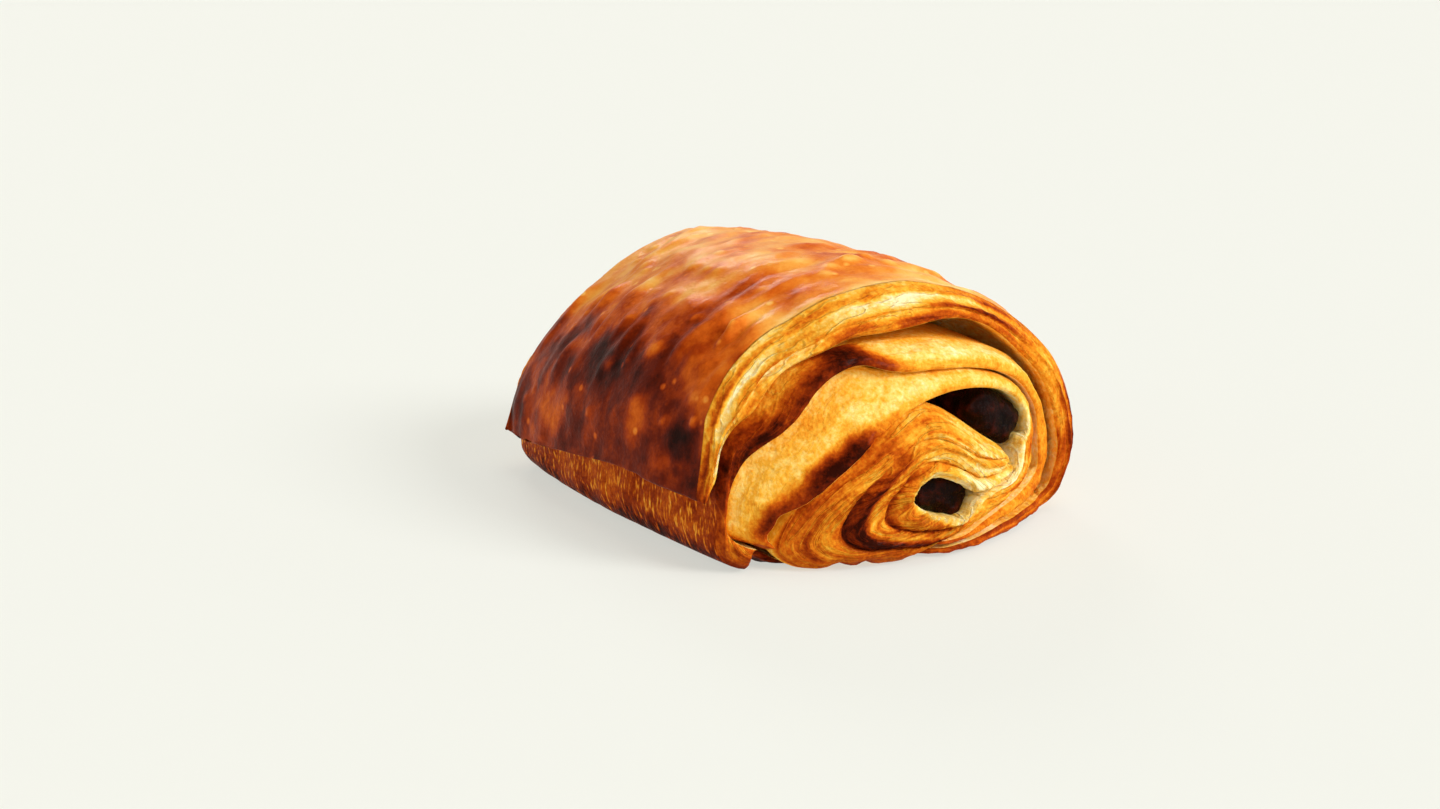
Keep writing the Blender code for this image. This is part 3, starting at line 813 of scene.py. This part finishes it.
def doughMaterial():
    made = Nodes("baked dough")
    where = made.add("ShaderNodeTexCoord").outputs["Object"]
    bake, washed, openEnd = made.attribute("bake"), made.attribute("washed"), made.attribute("openEnd")
    run, depth, low = made.attribute("run"), made.attribute("depth"), made.attribute("lowSide")
    layered = made.attribute("layered")
    along = made.add("ShaderNodeSeparateXYZ", Vector=where).outputs["Y"]
    small, middle, speck = made.noise(where, 1.1, 4.0), made.noise(where, 4.5), made.noise(where, 0.5, 2.0)

    def times(first, second):
        return made.math("MULTIPLY", first, second)

    def centred(noise, share):
        # the noise less its middle value, times the share
        return times(made.math("SUBTRACT", noise, 0.5), share)

    # thin layers: noise drawn out along the sheet and close together across it
    drawn = made.add("ShaderNodeCombineXYZ", X=times(run, 0.15), Y=times(depth, 1.1), Z=times(along, 90.0))
    layers = made.add("ShaderNodeTexNoise", Vector=drawn.outputs[0], Scale=1.0, Detail=4.0, Roughness=0.6)
    layers = layers.outputs["Fac"]
    # pale flake edges, where a second such noise passes its middle value
    flakes = made.add("ShaderNodeTexNoise", Vector=drawn.outputs[0], Scale=0.7, Detail=2.0, Roughness=0.5,
                      Distortion=0.4)
    away = made.math("ABSOLUTE", made.math("SUBTRACT", flakes.outputs["Fac"], 0.5))
    flake = times(made.math("MULTIPLY_ADD", away, -26.0, 1.0, clamp=True), times(layered, openEnd))
    # short pale strokes on the low side, drawn out round the roll
    drawn = made.add("ShaderNodeCombineXYZ", X=times(run, 0.45), Y=times(along, 1300.0))
    strokes = made.add("ShaderNodeTexNoise", Vector=drawn.outputs[0], Scale=1.0, Detail=2.0, Roughness=0.6)
    stroke = times(made.math("MULTIPLY_ADD", strokes.outputs["Fac"], 6.0, -3.1, clamp=True), low)
    # small pale blisters scattered over the crust
    dot = times(made.math("MULTIPLY_ADD", made.cells(where, 5.0), -12.0, 1.9, clamp=True), washed)

    # the tone: the baked value, with noise in three sizes and the layers, less what is pale
    crumbly = made.math("SUBTRACT", 1.0, washed)
    tone = made.math("MULTIPLY_ADD", middle, 0.34, made.math("SUBTRACT", bake, 0.17))
    tone = made.math("ADD", tone, centred(small, made.math("MULTIPLY_ADD", crumbly, 0.30, 0.16)))
    tone = made.math("ADD", tone, centred(speck, made.math("MULTIPLY_ADD", crumbly, 0.18, 0.10)))
    tone = made.math("ADD", tone, centred(layers, times(openEnd, times(layered, 0.8))))
    tone = made.math("SUBTRACT", tone, times(flake, 0.14))
    tone = made.math("SUBTRACT", tone, times(dot, 0.22))
    tone = made.math("SUBTRACT", tone, times(stroke, 0.42), clamp=True)
    colour = made.mix("RGBA", washed, made.ramp(tone, crumbColours), made.ramp(tone, crustColours))
    made.put(made.shader, "Base Color", colour)
    rough = made.math("MULTIPLY_ADD", washed, -0.28, 0.62)
    rough = made.math("MULTIPLY_ADD", middle, 0.36, made.math("SUBTRACT", rough, 0.18))
    made.put(made.shader, "Roughness", rough)
    made.put(made.shader, "Coat Weight", times(washed, 0.065))
    made.finish({"Specular IOR Level": 0.012, "Specular Tint": (1.0, 0.5, 0.3, 1.0), "Coat Roughness": 0.19,
                 "Coat Tint": (1.0, 0.86, 0.72, 1.0), "Subsurface Weight": 0.12,
                 "Subsurface Radius": (1.0, 0.45, 0.2), "Subsurface Scale": 2.2 * mm})
    crumbHeight = made.math("MULTIPLY_ADD", times(layers, layered), 2.0, flake)
    crumbHeight = made.math("MULTIPLY_ADD", made.cells(where, 0.8), 0.3, made.math("ADD", crumbHeight, small))
    crustHeight = made.math("MULTIPLY_ADD", speck, 0.12, made.math("MULTIPLY_ADD", small, 0.35, stroke))
    made.bump(made.mix("FLOAT", washed, crumbHeight, crustHeight), 0.4)
    return made.material


def chocolateMaterial():
    made = Nodes("dark chocolate")
    where = made.add("ShaderNodeTexCoord").outputs["Object"]
    small = made.noise(where, 2.2, 5.0)
    colour = made.ramp(small, [(0.35, linear(8, 1, 1)), (0.52, linear(26, 6, 3)), (0.7, linear(60, 18, 9))])
    made.put(made.shader, "Base Color", colour)
    made.put(made.shader, "Roughness", made.math("MULTIPLY", small, 0.4))
    made.finish({"Specular IOR Level": 0.03, "Coat Weight": 0.06, "Coat Roughness": 0.14})
    made.bump(small, 1.4)
    return made.material


def makeFloor():
    # a round floor, flat for metres and then rising as the square of the way out, so no view sees past it
    around, rings = 96, 9
    angle = np.linspace(0, 2 * np.pi, around, endpoint=False)[None, :]
    out = np.linspace(0, 1, rings)[:, None]
    radius = studio["flatRadius"] + (studio["floorRadius"] - studio["flatRadius"]) * out
    height = studio["floorRise"] * out ** 2 + 0 * angle
    points = np.stack([radius * np.cos(angle), radius * np.sin(angle), height], -1).reshape(-1, 3)
    index = np.arange(around * rings).reshape(rings, around)
    mesh = bpy.data.meshes.new("floor")
    mesh.from_pydata(points.tolist(), [], [index[0].tolist()] + quads(index).tolist())
    mesh.polygons.foreach_set("use_smooth", [True] * len(mesh.polygons))
    obj = bpy.data.objects.new("floor", mesh)
    bpy.context.scene.collection.objects.link(obj)
    made = Nodes("pale floor")
    # part of its brightness is its own, so that shadows on it stay light
    lit = [studio["floorLit"] * c for c in studio["floor"][:3]] + [1.0]
    made.finish({"Base Color": lit, "Emission Color": studio["floor"],
                 "Emission Strength": studio["floorOwn"], "Roughness": 0.9, "Specular IOR Level": 0.0})
    obj.data.materials.append(made.material)


def softSun(name, toward, spread, strength):
    # light from the direction toward, spread over that many degrees, so it is as strong everywhere
    data = bpy.data.lights.new(name, "SUN")
    data.angle = math.radians(spread)
    data.energy = strength
    obj = bpy.data.objects.new(name, data)
    bpy.context.scene.collection.objects.link(obj)
    obj.rotation_euler = Vector(toward).to_track_quat("Z", "Y").to_euler()


def makeSky():
    # pale like the floor up to where its edge ends, and a soft fill above, by the height of the direction
    world = bpy.data.worlds.new("studio")
    bpy.context.scene.world = world
    world.use_nodes = True
    tree = world.node_tree
    height = tree.nodes.new("ShaderNodeSeparateXYZ")
    ramp = tree.nodes.new("ShaderNodeValToRGB")
    tree.links.new(tree.nodes.new("ShaderNodeTexCoord").outputs["Generated"], height.inputs[0])
    tree.links.new(height.outputs["Z"], ramp.inputs[0])
    tree.links.new(ramp.outputs[0], tree.nodes["Background"].inputs["Color"])
    pale, fill = ramp.color_ramp.elements
    pale.position, pale.color = studio["skyPaleTo"], studio["floor"]
    fill.position, fill.color = studio["skyFillFrom"], studio["skyColour"]
    tree.nodes["Background"].inputs["Strength"].default_value = 1.0


def makeCamera():
    turn, rise = math.radians(camera["azimuth"]), math.radians(camera["elevation"])
    back = Vector((math.sin(turn) * math.cos(rise), -math.cos(turn) * math.cos(rise), math.sin(rise)))
    data = bpy.data.cameras.new("camera")
    data.sensor_width = 36
    data.lens = camera["lens"]
    data.shift_x, data.shift_y = camera["shift"]
    data.clip_start, data.clip_end = 0.01, 20.0
    obj = bpy.data.objects.new("camera", data)
    bpy.context.scene.collection.objects.link(obj)
    obj.location = Vector(((np.array(camera["target"]) + placing) * mm).tolist()) + back * camera["distance"]
    obj.rotation_euler = back.to_track_quat("Z", "Y").to_euler()
    bpy.context.scene.camera = obj


print("dough")
dough = makeDough()
dough.data.materials.append(doughMaterial())
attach(dough, "root")
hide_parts("rolled_dough")

print("chocolate")
chocolate = chocolateMaterial()
for baton in batons:
    piece = makeBaton(baton)
    piece.data.materials.append(chocolate)
    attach(piece, "root")
    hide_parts(baton["node"])

print("stage")
makeFloor()
for name, (toward, spread, strength) in studio["suns"].items():
    softSun(name, toward, spread, strength)
makeSky()
bpy.context.scene.view_settings.view_transform = "Standard"
makeCamera()
